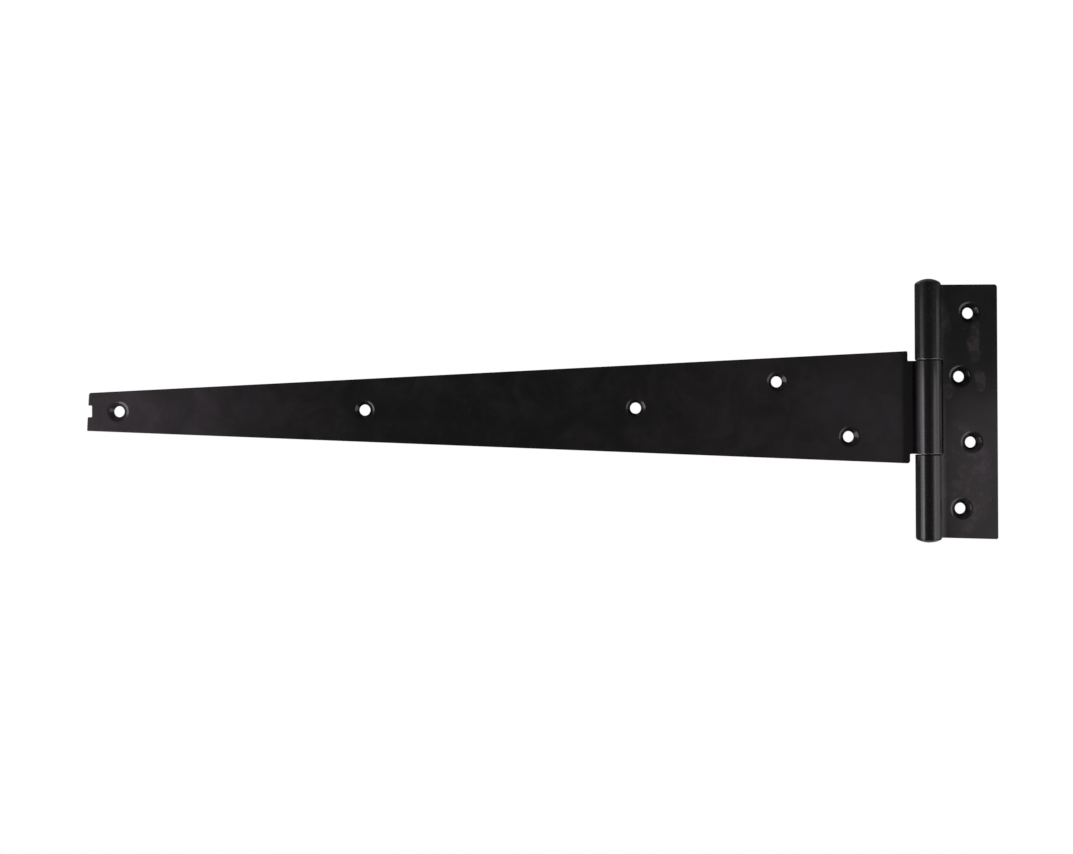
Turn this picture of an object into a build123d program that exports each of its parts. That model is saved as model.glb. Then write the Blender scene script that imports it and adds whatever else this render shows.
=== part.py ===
from build123d import *
from math import acos, asin, atan2, cos, degrees, hypot, radians, sin
import os

# A heavy Scotch tee hinge, 450 mm from the pin to the tip of its strap: a tapered strap, a cross leaf
# and a riveted pin. Every size is in millimetres.
#
# The origin is on the pin's axis, level with the middle of the cross leaf. +Z runs up the pin, the
# strap reaches towards -X, the cross leaf towards +X, and the flat backs that are screwed to the gate
# and its post face +Y. The hinge lies flat, as on a closed gate.

# Driving dimensions
plate = 3.5                # thickness of the steel, strap and leaf alike
pin_diameter = 6.35
running_clearance = 0.05   # between the pin and the bore of each knuckle
barrel_lift = 1.0          # how far the barrel stands clear of the plane of the flat backs
reach = 450.0              # from the pin's axis to the tip of the strap
leaf_height = 135.8        # along the pin
leaf_width = 38.7          # from the pin's axis to the free edge of the leaf
joint_gap = 0.3            # between the ends of neighbouring knuckles

# The rolled section, seen along the pin
leaf_bend_x = 10.0         # where the leaf starts to rise towards its knuckles
strap_bend_x = 13.0        # the same on the strap
bend_radius = 12.0
leaf_seam = 26.0           # where the rolled end stops, in degrees short of the plate it came from
strap_seam = 10.0
rolled_edge = 0.5          # rounding of the rolled end's outer corner
rim_rounding = 0.3         # on the rims of the knuckles
sheared_edge = 0.35        # rounding of the front edges of both plates

# The strap, seen from the front
strap_z = 2.2              # height of its centreline, a little above the middle of the leaf
tip_width = 20.4
root_width = 60.3
upper_shoulder_x = -9.6
lower_shoulder_x = -8.5
knuckle_length = 49.9
knuckle_z = 2.1            # middle of the strap's knuckle and neck
tip_slant = 1.2            # how much shorter the upper corner of the tip is than the lower one
tip_notch_z = 2.5
tip_notch_width = 6.2
tip_notch_depth = 2.1

# The cross leaf
notch_x = 9.4              # edge of the notch that clears the strap's knuckle
leaf_skew = 1.0            # how far the lower edge drops towards its outer corner

# Screw holes, as (x, z) of each centre
screw_clearance = 6.0
strap_countersink = 11.6   # across the rounded mouth, where it meets the front face
leaf_countersink = 12.2
mouth_rounding = 1.8       # the punched mouth rolls over into the 90 degree seat of the screw's head
strap_holes = [(-433.3, 2.3), (-301.1, 2.4), (-155.4, 2.6), (-79.5, 16.3), (-40.9, -13.4)]
leaf_holes = [(23.7, 52.7), (18.7, 18.6), (24.8, -16.7), (19.1, -52.3)]

# The pin's peened heads
head_radius = 6.3
head_rim = 0.5             # height of the rim under each dome
upper_head = 2.6
lower_head = 2.1

# Worked out from the above
pin_radius = pin_diameter / 2
bore_radius = pin_radius + running_clearance
barrel_radius = bore_radius + plate
back_y = barrel_radius + barrel_lift
front_y = back_y - plate
half_leaf = leaf_height / 2
knuckle_top = knuckle_z + knuckle_length / 2
knuckle_foot = knuckle_z - knuckle_length / 2
beyond = barrel_radius + 1  # an outline that runs this far past the axis leaves the barrel whole


def around(radius, angle):
    """The point at an angle in degrees, counted from +X towards +Y."""
    return (radius * cos(radians(angle)), radius * sin(radians(angle)))


def arc(radius, start, end):
    """An arc about the pin's axis, between two such angles."""
    return ThreePointArc(around(radius, start), around(radius, (start + end) / 2), around(radius, end))


def soften(face, point, radius):
    """Rounds the corner of a face that lies nearest to a point."""
    return fillet(face.vertices().sort_by_distance(Vector(*point))[0], radius)


def rolled_section(far_x, bend_x, seam):
    """A plate that comes in from +X, rises from bend_x on and is rolled round the pin, seen from above."""
    tangent = degrees(atan2(back_y, bend_x) + acos(barrel_radius / hypot(back_y, bend_x)))
    rise = radians(tangent - 90)
    end = tangent + 270 + seam
    back_bend = (bend_x, back_y)
    front_bend = ((front_y * cos(rise) - bore_radius) / sin(rise), front_y)
    outer_end = around(barrel_radius, end)
    section = make_face(
        [
            Polyline((far_x, front_y), (far_x, back_y), back_bend, around(barrel_radius, tangent)),
            arc(barrel_radius, tangent, end),
            Line(outer_end, around(bore_radius, end)),
            arc(bore_radius, end, tangent),
            Polyline(around(bore_radius, tangent), front_bend, (far_x, front_y)),
        ]
    )
    section = soften(section, back_bend, bend_radius)
    section = soften(section, front_bend, bend_radius)
    return soften(section, outer_end, rolled_edge)


def front_outline(corners):
    """The front view of a plate, from (x, z, corner radius) triples, as a block that runs through it."""
    points = [(x, z) for x, z, radius in corners]
    radii = [radius for x, z, radius in corners]
    face = make_face(FilletPolyline(*points, radius=radii, close=True))
    return extrude(Plane.XZ * face, 2 * back_y, both=True)


def screw_holes(centres, mouth_diameter):
    """Cutters for countersunk holes that open to the front, with a rounded mouth above a 90 degree cone."""
    shank_radius = screw_clearance / 2
    mouth_radius = mouth_diameter / 2
    rolled = mouth_rounding * sin(radians(45))
    fallen = mouth_rounding - rolled
    half_way = radians(45) / 2
    mouth = (mouth_radius, front_y)
    middle = (mouth_radius - mouth_rounding * sin(half_way), front_y + mouth_rounding * (1 - cos(half_way)))
    cone_top = (mouth_radius - rolled, front_y + fallen)
    cone_foot = (shank_radius, cone_top[1] + cone_top[0] - shank_radius)
    above, below = front_y - plate, back_y + plate
    profile = make_face(
        [
            ThreePointArc(mouth, middle, cone_top),
            Polyline(cone_top, cone_foot, (shank_radius, below), (0, below)),
            Polyline((0, below), (0, above), (mouth_radius, above), mouth),
        ]
    )
    cutter = revolve(profile, Axis.Y)
    return [Pos(x, 0, z) * cutter for x, z in centres]


def round_front_edges(part):
    """Softens the edges that bound the flat front face, as shearing and paint leave them."""
    faces = part.faces().filter_by(Axis.Y).filter_by(lambda f: abs(f.center().Y - front_y) < 0.01)
    return fillet(faces.sort_by(SortBy.AREA)[-1].outer_wire().edges(), sheared_edge)


def round_rims(part):
    """Softens the outer rims at the ends of the knuckles."""
    arcs = part.edges().filter_by(GeomType.CIRCLE).filter_by(lambda e: abs(e.normal().Z) > 0.99)
    return fillet(arcs.filter_by(lambda e: abs(e.radius - barrel_radius) < 0.01), rim_rounding)


def make_strap():
    half_tip = tip_width / 2
    half_root = root_width / 2
    half_notch = tip_notch_width / 2

    def tip_x(z):
        return -reach + tip_slant * (z - strap_z + half_tip) / tip_width

    notch_top = tip_notch_z + half_notch
    notch_foot = tip_notch_z - half_notch
    notch_floor = tip_x(tip_notch_z) + tip_notch_depth
    block = front_outline(
        [
            (beyond, knuckle_foot, 0),
            (beyond, knuckle_top, 0),
            (upper_shoulder_x, knuckle_top, 0.5),
            (upper_shoulder_x, strap_z + half_root, 0.8),
            (tip_x(strap_z + half_tip), strap_z + half_tip, 1.2),
            (tip_x(notch_top), notch_top, 0.5),
            (notch_floor, notch_top, 0.4),
            (notch_floor, notch_foot, 0.4),
            (tip_x(notch_foot), notch_foot, 0.5),
            (-reach, strap_z - half_tip, 0.6),
            (lower_shoulder_x, strap_z - half_root, 1.5),
            (lower_shoulder_x, knuckle_foot, 0.5),
        ]
    )
    section = rolled_section(reach + 1, strap_bend_x, strap_seam)
    rolled = extrude(mirror(section, about=Plane.YZ), root_width, both=True)
    strap = round_rims(round_front_edges(rolled & block))
    return strap - screw_holes(strap_holes, strap_countersink)


def make_cross_leaf():
    block = front_outline(
        [
            (-beyond, -half_leaf, 0),
            (beyond, -half_leaf, 0),
            (leaf_width, -half_leaf - leaf_skew, 1.0),
            (leaf_width, half_leaf, 1.6),
            (-beyond, half_leaf, 0),
            (-beyond, knuckle_top + joint_gap, 0),
            (notch_x, knuckle_top + joint_gap, 0.8),
            (notch_x, knuckle_foot - joint_gap, 0.8),
            (-beyond, knuckle_foot - joint_gap, 0),
        ]
    )
    section = rolled_section(leaf_width + 1, leaf_bend_x, leaf_seam)
    leaf = round_rims(round_front_edges(extrude(section, leaf_height, both=True) & block))
    return leaf - screw_holes(leaf_holes, leaf_countersink)


def dome(base_z, height, direction):
    """The half outline of a peened head, from its rim to its crown."""
    crown = height - head_rim
    sphere = (head_radius**2 + crown**2) / (2 * crown)
    half_angle = asin(head_radius / sphere) / 2
    rim = (head_radius, base_z + direction * head_rim)
    top = (0, base_z + direction * height)
    between = (sphere * sin(half_angle), top[1] - direction * sphere * (1 - cos(half_angle)))
    return [Line((head_radius, base_z), rim), ThreePointArc(rim, between, top)]


def make_pin():
    half = make_face(
        [
            *dome(half_leaf, upper_head, 1),
            *dome(-half_leaf, lower_head, -1),
            Line((head_radius, half_leaf), (pin_radius, half_leaf)),
            Line((pin_radius, half_leaf), (pin_radius, -half_leaf)),
            Line((pin_radius, -half_leaf), (head_radius, -half_leaf)),
            Line((0, half_leaf + upper_head), (0, -half_leaf - lower_head)),
        ]
    )
    return revolve(Plane.XZ * half, Axis.Z)


parts = {"strap": make_strap(), "cross_leaf": make_cross_leaf(), "pin": make_pin()}
os.makedirs("parts", exist_ok=True)
for name, part in parts.items():
    export_step(part, f"parts/{name}.step")
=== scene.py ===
from math import cos, radians, sin, tan

import bpy
from mathutils import Matrix, Vector


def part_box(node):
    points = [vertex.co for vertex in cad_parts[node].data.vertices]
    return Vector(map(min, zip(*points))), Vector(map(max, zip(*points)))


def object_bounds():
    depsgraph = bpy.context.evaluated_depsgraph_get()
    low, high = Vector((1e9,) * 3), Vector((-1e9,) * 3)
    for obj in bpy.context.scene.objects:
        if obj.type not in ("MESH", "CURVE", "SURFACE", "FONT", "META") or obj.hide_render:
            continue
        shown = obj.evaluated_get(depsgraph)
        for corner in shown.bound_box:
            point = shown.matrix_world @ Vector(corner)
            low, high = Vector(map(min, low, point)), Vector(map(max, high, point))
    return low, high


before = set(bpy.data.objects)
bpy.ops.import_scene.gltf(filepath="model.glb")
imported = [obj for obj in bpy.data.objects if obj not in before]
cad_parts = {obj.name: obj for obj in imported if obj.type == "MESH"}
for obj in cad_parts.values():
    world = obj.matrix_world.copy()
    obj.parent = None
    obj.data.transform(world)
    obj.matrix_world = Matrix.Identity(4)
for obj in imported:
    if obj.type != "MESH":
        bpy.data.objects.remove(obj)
cad_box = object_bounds()

# The hinge lies face up on a white table, and the camera looks straight down on it: -Y is up for the
# hinge as it lies, so the table is a plane behind its flat backs. Every size is in metres.
strap_low, strap_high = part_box("strap")
leaf_low, leaf_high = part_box("cross_leaf")
middle = (cad_box[0] + cad_box[1]) / 2
plate = 0.0035
back_y = leaf_high.y
front_y = back_y - plate
barrel_radius = -leaf_low.x

# The colours of the finish, as linear red, green and blue
black_enamel = (0.0030, 0.0029, 0.0030)
grey_haze_and_sheen = (0.046, 0.038, 0.043)
brown_film = (0.024, 0.016, 0.014)
# The grey of the handling haze, and of the painted sheen on the strap, which stands in for reflected light
pale_dust = (0.10, 0.095, 0.095)
rubbed_steel = (0.12, 0.105, 0.095)
# Bright steel of the worn knuckle rims, painted brighter as a glint that stands in for a rounder rim's
# highlight
steel_and_glint = (0.27, 0.25, 0.225)
# Near-black painted shade on the knuckle rims under each joint, standing in for the dark gap there
painted_joint_shade = (0.0015, 0.0015, 0.0015)


# Shader helpers. A value is a plain number or the socket that gives it.

def start_material(name):
    made = bpy.data.materials.new(name)
    made.use_nodes = True
    return made, made.node_tree, made.node_tree.nodes["Principled BSDF"]


def feed(tree, socket, value):
    """Links value to the socket, or sets it there if it is plain."""
    if isinstance(value, bpy.types.NodeSocket):
        tree.links.new(value, socket)
    else:
        socket.default_value = value


def add_node(tree, kind, inputs=None, **settings):
    """A new shader node, with its inputs by name or number."""
    made = tree.nodes.new("ShaderNode" + kind)
    for name, value in settings.items():
        setattr(made, name, value)
    for socket, value in (inputs or {}).items():
        feed(tree, made.inputs[socket], value)
    return made


def calc(tree, operation, first, second=0.0):
    """One step of arithmetic, by the name that Blender's Math node gives it."""
    return add_node(tree, "Math", {0: first, 1: second}, operation=operation).outputs[0]


def plus(tree, first, second):
    return calc(tree, "ADD", first, second)


def minus(tree, first, second):
    return calc(tree, "SUBTRACT", first, second)


def times(tree, first, second):
    return calc(tree, "MULTIPLY", first, second)


def calc_vector(tree, operation, first, second):
    return add_node(tree, "VectorMath", {0: first, 1: second}, operation=operation).outputs["Vector"]


def place_on(tree, stretch=(1, 1, 1)):
    """The point's own place on its piece, which the piece carries along when it swings."""
    point = add_node(tree, "TexCoord").outputs["Object"]
    return add_node(tree, "Mapping", {"Vector": point, "Scale": stretch}).outputs["Vector"]


def noise(tree, point, size, detail=3.0, roughness=0.5, distortion=0.0, output="Fac"):
    """Cloud noise whose blobs are about size metres across."""
    settings = {
        "Vector": point,
        "Scale": 1 / size,
        "Detail": detail,
        "Roughness": roughness,
        "Distortion": distortion,
    }
    return add_node(tree, "TexNoise", settings).outputs[output]


def ramp(tree, value, low, high, start=0.0, end=1.0):
    """Eases from start to end as value goes from low to high."""
    ends = {"Value": value, "From Min": low, "From Max": high, "To Min": start, "To Max": end}
    return add_node(tree, "MapRange", ends, interpolation_type="SMOOTHSTEP").outputs["Result"]


def tint(tree, base, share, colour):
    """Covers base, a colour or the socket that gives one, with a colour: wholly where share is 1."""
    made = add_node(tree, "Mix", data_type="RGBA")
    feed(tree, made.inputs[0], share)
    feed(tree, made.inputs[6], base if isinstance(base, bpy.types.NodeSocket) else (*base, 1))
    feed(tree, made.inputs[7], (*colour, 1))
    return made.outputs[2]


# Marks, each 1 where it is strongest and 0 away from it

def edge_wear(tree, rounded, low, high):
    """Where the surface turns sharply, as on rims and sheared edges. rounded is the softened normal."""
    straight = add_node(tree, "NewGeometry").outputs["Normal"]
    along = add_node(tree, "VectorMath", {0: rounded, 1: straight}, operation="DOT_PRODUCT")
    return ramp(tree, minus(tree, 1.0, along.outputs["Value"]), low, high)


def spot(tree, point, centre, width, height, fade_from=1.0, fade_to=0.3):
    """A round spot about centre, an (x, z) pair. It fades between two shares of its half size."""
    moved = calc_vector(tree, "ADD", point, (-centre[0], 0.0, -centre[1]))
    scaled = calc_vector(tree, "MULTIPLY", moved, (2 / width, 0.0, 2 / height))
    distance = add_node(tree, "VectorMath", {0: scaled}, operation="LENGTH").outputs["Value"]
    return ramp(tree, distance, fade_from, fade_to)


def smudge(tree, point, centre, width, height):
    """A spot with an uneven outline."""
    cell = 1 / 140
    wander = 0.006
    random = noise(tree, point, cell, output="Color")
    shift = calc_vector(tree, "SUBTRACT", random, (0.5, 0.5, 0.5))
    shift = calc_vector(tree, "MULTIPLY", shift, (wander, wander, wander))
    shaken = calc_vector(tree, "ADD", point, shift)
    return spot(tree, shaken, centre, width, height, 1.15, 0.75)


def rim_band(tree, place, on_barrel, heights, fade_from, fade_to):
    """The knuckle rims at the given heights, fading between two distances from them."""
    band = 0.0
    for height in heights:
        away = calc(tree, "ABSOLUTE", minus(tree, place["Z"], height))
        rim = times(tree, ramp(tree, away, fade_from, fade_to), on_barrel)
        band = calc(tree, "MAXIMUM", band, rim)
    return band


# The finish

def haze_and_sheen_cover(tree, point, place, amount, clean_and_shade_reach, sheen_veils, blooms, wipes):
    """How thick the grey lies: haze clouds, veils of painted sheen and blooms, less wipes and the bare zone
    by the axis.
    """
    cloud = ramp(tree, noise(tree, point, 0.024, 5, 0.6, 0.6), 0.42, 0.72)
    patch = ramp(tree, noise(tree, point, 0.007, 4, 0.65, 0.3), 0.45, 0.75)
    haze_and_sheen = times(tree, plus(tree, cloud, times(tree, patch, 0.45)), amount)

    uneven = plus(tree, times(tree, cloud, 0.35), 0.80)
    # Veils of painted sheen: a lighter grey that stands in for reflected light
    for start, end, thickness in sheen_veils:
        sheen_veil = ramp(tree, place["X"], start, end, 0.0, thickness)
        haze_and_sheen = plus(tree, haze_and_sheen, times(tree, sheen_veil, uneven))

    patchy = ramp(tree, patch, 0.0, 1.0, 0.35, 1.7)
    on_front = ramp(tree, place["Y"], front_y + 0.0020, front_y + 0.0010)
    for centre, width, height in blooms:
        bloom = times(tree, smudge(tree, point, centre, width, height), on_front)
        haze_and_sheen = plus(tree, haze_and_sheen, times(tree, bloom, patchy))

    wiped_off = 0.85
    for centre, width, height in wipes:
        wipe = times(tree, smudge(tree, point, centre, width, height), wiped_off)
        haze_and_sheen = times(tree, haze_and_sheen, minus(tree, 1.0, wipe))

    # Near the axis the haze is taken off: cleaner enamel on the barrel, and on the strap's neck painted
    # shade
    edge = 0.0005
    from_axis = calc(tree, "ABSOLUTE", place["X"])
    clean_and_shaded = ramp(tree, from_axis, clean_and_shade_reach + edge, clean_and_shade_reach - edge)
    kept = minus(tree, 1.0, times(tree, clean_and_shaded, wiped_off))
    return add_node(tree, "Clamp", {"Value": times(tree, haze_and_sheen, kept)}).outputs[0]


def enamel_colour(tree, point, haze_and_sheen, on_barrel):
    """Black under the haze and the painted sheen, with a brown film in places and pale specks of dust."""
    base = tint(tree, black_enamel, haze_and_sheen, grey_haze_and_sheen)
    film = ramp(tree, noise(tree, point, 0.011, 4, 0.6, 0.4), 0.55, 0.8, 0.0, 0.35)
    base = tint(tree, base, film, brown_film)
    dust = plus(tree, noise(tree, point, 0.0009, 2, 0.5), times(tree, on_barrel, 0.06))
    return tint(tree, base, ramp(tree, dust, 0.70, 0.80, 0.0, 0.5), pale_dust)


def gloss(tree, point, haze_and_sheen, worn_glint, joint_shade):
    """The roughness: cloudy and streaked, duller under haze, painted sheen and painted joint shade,
    smoother on the bright rims.
    """
    rough = ramp(tree, noise(tree, point, 0.013, 4, 0.6, 0.5), 0.3, 0.7, 0.34, 0.44)
    rough = plus(tree, rough, times(tree, haze_and_sheen, 0.10))
    streaks = noise(tree, place_on(tree, (60, 500, 500)), 1.0, 3, 0.6)
    rough = plus(tree, rough, ramp(tree, streaks, 0.55, 0.75, 0.0, 0.05))
    rough = minus(tree, rough, times(tree, worn_glint, 0.20))
    return plus(tree, rough, times(tree, joint_shade, 0.5))


def relief(tree, point, on_barrel, rounded, dents):
    """The normal: softened edges, brushed-on waves, a finer grain and small knocks."""
    grain = ramp(tree, on_barrel, 0.0, 1.0, 0.16, 0.40)
    height = times(tree, noise(tree, point, 0.0014, 3, 0.5), grain)
    height = plus(tree, height, noise(tree, point, 0.009, 3, 0.5))
    for centre, width, length in dents:
        height = minus(tree, height, times(tree, spot(tree, point, centre, width, length), 1.2))
    inputs = {"Height": height, "Normal": rounded, "Strength": 0.35, "Distance": 0.00022}
    return add_node(tree, "Bump", inputs).outputs["Normal"]


def enamel(
    name, haze_amount, clean_and_shade_reach, sheen_veils=(), blooms=(), wipes=(), dents=(), worn_glint_rims=(), dark_rims=()
):
    """Black enamel over hot-rolled steel: slightly uneven gloss, handling haze, rubbed edges and rims.

    The reach is how far from the pin's axis the haze is taken off: cleaner enamel on the barrel, and on the
    strap's neck painted shade, left darker to stand in for the shade on its tilted face. Each veil is
    painted sheen, a lighter grey that grows from one x to another, up to a thickness, standing in for
    reflected light. blooms, wipes and dents are (centre, width, height) marks: grey bloom on the front,
    places where a thumb has wiped the haze off, and small knocks.
    The worn rims are the heights of knuckle rims worn to bright steel and painted brighter as a glint,
    standing in for the light a rounder rim would catch; the dark rims are the heights of rims painted
    near-black, painted shade standing in for the dark gap under each joint.
    """
    made, tree, shader = start_material(name)
    point = place_on(tree)
    place = add_node(tree, "SeparateXYZ", {0: point}).outputs
    from_axis = calc(tree, "ABSOLUTE", place["X"])
    on_barrel = ramp(tree, from_axis, 1.20 * barrel_radius, 1.05 * barrel_radius)
    rounded = add_node(tree, "Bevel", {"Radius": 0.0006}, samples=8).outputs["Normal"]

    haze_and_sheen = haze_and_sheen_cover(tree, point, place, haze_amount, clean_and_shade_reach, sheen_veils, blooms, wipes)
    chipped = ramp(tree, noise(tree, point, 0.0022, 4, 0.7), 0.50, 0.66)
    rubbed = times(tree, edge_wear(tree, rounded, 0.03, 0.30), times(tree, chipped, 0.55))
    # Bright rims: worn steel, painted brighter still as a glint standing in for a rounder rim's highlight
    worn_glint = rim_band(tree, place, on_barrel, worn_glint_rims, 0.00050, 0.00025)
    worn_glint = times(tree, worn_glint, ramp(tree, chipped, 0.0, 1.0, 0.55, 1.0))
    # Dark rims: painted shade, near-black, standing in for the dark gap under each joint
    joint_shade = rim_band(tree, place, on_barrel, dark_rims, 0.00050, 0.00030)
    outside_joint_shade = minus(tree, 1.0, joint_shade)

    base = enamel_colour(tree, point, haze_and_sheen, on_barrel)
    base = tint(tree, base, rubbed, rubbed_steel)
    base = tint(tree, base, worn_glint, steel_and_glint)
    base = tint(tree, base, joint_shade, painted_joint_shade)
    # The metallic share: rubbed edges, and the bright rims of worn steel and painted glint
    bare_and_glint = calc(tree, "MAXIMUM", times(tree, rubbed, 0.8), worn_glint)

    feed(tree, shader.inputs["Base Color"], base)
    feed(tree, shader.inputs["Metallic"], times(tree, bare_and_glint, outside_joint_shade))
    feed(tree, shader.inputs["Roughness"], gloss(tree, point, haze_and_sheen, worn_glint, joint_shade))
    feed(tree, shader.inputs["Normal"], relief(tree, point, on_barrel, rounded, dents))
    shader.inputs["Specular IOR Level"].default_value = 0.25
    shader.inputs["Coat Roughness"].default_value = 0.11
    coat = 0.75
    # The coat is taken off under the painted joint shade
    feed(tree, shader.inputs["Coat Weight"], times(tree, outside_joint_shade, coat) if dark_rims else coat)
    return made


def knuckle_ends(node, floor, ceiling):
    """The heights of the lower and upper rims of a node's knuckle, the one between floor and ceiling."""
    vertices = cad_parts[node].data.vertices
    heights = [vertex.co.z for vertex in vertices if abs(vertex.co.x) < barrel_radius / 2]
    within = [height for height in heights if floor < height < ceiling]
    return min(within), max(within)


def strap_enamel():
    """Painted sheen, lighter grey, towards the tip and over the root up to the neck, which is left darker
    as painted shade.
    """
    # Painted sheen towards the tip and over the root
    sheen_veils = [(-0.30, -0.45, 0.64), (-0.19, -0.11, 0.19)]
    foot, top = knuckle_ends("strap", strap_low.z, strap_high.z)
    # Its knuckle's foot rim: worn steel with a painted glint; its top rim: painted shade, near-black
    return enamel("strap_enamel", 0.19, 0.0120, sheen_veils, worn_glint_rims=[foot], dark_rims=[top])


def leaf_enamel():
    """The cross leaf has been handled more: bloom beside the holes, and a wiped thumb mark between them."""
    blooms = [
        ((0.0265, 0.0375), 0.0065, 0.024),
        ((0.0300, 0.0155), 0.006, 0.011),
        ((0.0095, 0.0420), 0.008, 0.034),
        ((0.0120, 0.0110), 0.007, 0.008),
        # The last and largest makes the lower half of the leaf lighter grey
        ((0.0190, -0.0360), 0.034, 0.060),
    ]
    thumb = ((0.0160, 0.0345), 0.014, 0.024)
    dents = [
        ((0.0259, -0.0451), 0.0028, 0.0022),
        ((0.0351, -0.0475), 0.0024, 0.0030),
        ((0.0215, 0.0435), 0.0016, 0.0016),
    ]
    upper_foot = knuckle_ends("cross_leaf", 0, leaf_high.z)[0]
    lower_top = knuckle_ends("cross_leaf", leaf_low.z, 0)[1]
    return enamel(
        "leaf_enamel",
        0.13,
        0.0076,
        blooms=blooms,
        wipes=[thumb],
        dents=dents,
        # The upper knuckle's foot rim: worn steel with a painted glint; the lower knuckle's top rim:
        # painted shade
        worn_glint_rims=[upper_foot],
        dark_rims=[lower_top],
    )


def pin_enamel():
    return enamel("pin_enamel", 0.12, 0.0076)


# The room

def softbox(name, centre, target, width, height, power, colour=(1, 1, 1)):
    """A rectangular light at centre, facing target."""
    light = bpy.data.lights.new(name, "AREA")
    light.shape = "RECTANGLE"
    light.size, light.size_y = width, height
    light.energy = power
    light.color = colour
    made = bpy.data.objects.new(name, light)
    made.location = centre
    made.rotation_euler = (Vector(target) - Vector(centre)).to_track_quat("-Z", "Y").to_euler()
    made.visible_camera = False
    bpy.context.scene.collection.objects.link(made)


def panel(name, bearings, heights, distance, glow, colour=(1, 1, 1)):
    """An upright light beside the barrel, between two bearings: 0 is straight ahead, 90 is +X.

    distance is from the pin's axis, and glow is the light's power per square metre.
    """
    first, last = bearings
    low, high = heights
    bearing = radians((first + last) / 2)
    width = 2 * distance * tan(radians((last - first) / 2))
    height = high - low
    level = (low + high) / 2
    centre = (distance * sin(bearing), -distance * cos(bearing), level)
    softbox(name, centre, (0, 0, level), width, height, glow * width * height, colour)


def make_lights():
    """Tall panels on both sides, brighter towards the front, and two soft lights for the back.

    The panels end a little above the hinge, so that the barrel darkens towards its upper end.
    """
    left = 0.90
    right = 0.65
    left_span = (-0.80, 0.06)
    right_span = (-0.60, 0.045)
    panel("left_outer", (-90, -72), left_span, left, 6.0, (1.0, 0.96, 1.0))
    panel("left_inner", (-72, -53), left_span, left, 12.0, (1.0, 0.92, 1.0))
    panel("left_top", (-90, -62), (0.06, 0.15), left, 2.6)
    panel("front", (8, 20), (-0.08, 0.06), right, 0.42, (1.0, 0.94, 1.0))
    panel("right_front", (31, 54), right_span, right, 6.5, (1.0, 0.90, 0.97))
    panel("right_side", (54, 94), right_span, right, 3.6)
    panel("right_top", (62, 94), (0.045, 0.12), right, 2.6)
    panel("right_wing", (20, 31), (-0.60, 0.02), right, 1.6, (1.0, 0.88, 0.96))
    target = (middle.x, front_y, 0)
    side = 0.60
    softbox("back_left", (-0.50, 0.90, 1.00), target, side, side, 10)
    softbox("back_right", (0.45, 0.80, -0.30), target, side, side, 5)


def make_table():
    """The white table. It shows from the hinge's front only, and lets the back lights through."""
    half = 6.0
    gap = 0.0004                             # below the flat backs
    paper_grey = (0.4, 0.4, 0.4, 1)          # as the hinge sees it; the camera sees white
    mesh = bpy.data.meshes.new("table")
    corners = [(-half, -half), (half, -half), (half, half), (-half, half)]
    mesh.from_pydata([(x, back_y + gap, z) for x, z in corners], [], [(0, 1, 2, 3)])
    table = bpy.data.objects.new("table", mesh)
    bpy.context.scene.collection.objects.link(table)
    made, tree, shader = start_material("table")
    tree.nodes.remove(shader)
    path = add_node(tree, "LightPath").outputs
    behind = add_node(tree, "NewGeometry").outputs["Backfacing"]
    see_through = calc(tree, "MAXIMUM", behind, path["Is Shadow Ray"])
    paper = add_node(tree, "BsdfDiffuse", {"Color": paper_grey}).outputs[0]
    white = add_node(tree, "Emission", {"Strength": 1.0}).outputs[0]
    clear = add_node(tree, "BsdfTransparent").outputs[0]
    seen = add_node(tree, "MixShader", {0: path["Is Camera Ray"], 1: paper, 2: white}).outputs[0]
    mixed = add_node(tree, "MixShader", {0: see_through, 1: seen, 2: clear}).outputs[0]
    feed(tree, tree.nodes["Material Output"].inputs["Surface"], mixed)
    mesh.materials.append(made)


def make_world():
    """A white room, which lights the hinge only a little: the lamps do the rest."""
    room_light = 0.10
    world = bpy.data.worlds.new("room")
    world.use_nodes = True
    tree = world.node_tree
    background = tree.nodes["Background"]
    background.inputs["Color"].default_value = (1, 1, 1, 1)
    seen = add_node(tree, "LightPath").outputs["Is Camera Ray"]
    feed(tree, background.inputs["Strength"], ramp(tree, seen, 0.0, 1.0, room_light, 1.0))
    bpy.context.scene.world = world


def make_camera():
    """Looks square on at a point near the hinge's middle, rolled a hair, so that the hinge isn't level."""
    distance = 0.6586                        # to the front faces of the plates
    aim_x = middle.x - 0.00317               # a little nearer the tip than the middle of the hinge
    aim_z = middle.z - 0.0075
    data = bpy.data.cameras.new("camera")
    data.lens, data.sensor_width = 41.2, 36.0
    data.clip_start, data.clip_end = 0.01, 50
    camera = bpy.data.objects.new("camera", data)
    place = Matrix.Translation((aim_x, front_y - distance, aim_z))
    look = Matrix.Rotation(radians(90), 4, "X")
    roll = Matrix.Rotation(radians(-0.33), 4, "Z")
    camera.matrix_world = place @ look @ roll
    bpy.context.scene.collection.objects.link(camera)
    bpy.context.scene.camera = camera


finishes = {"strap": strap_enamel(), "cross_leaf": leaf_enamel(), "pin": pin_enamel()}
for node, finish in finishes.items():
    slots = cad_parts[node].data.materials
    slots.clear()
    slots.append(finish)

make_table()
make_world()
make_lights()
make_camera()
bpy.context.scene.view_settings.view_transform = "Standard"
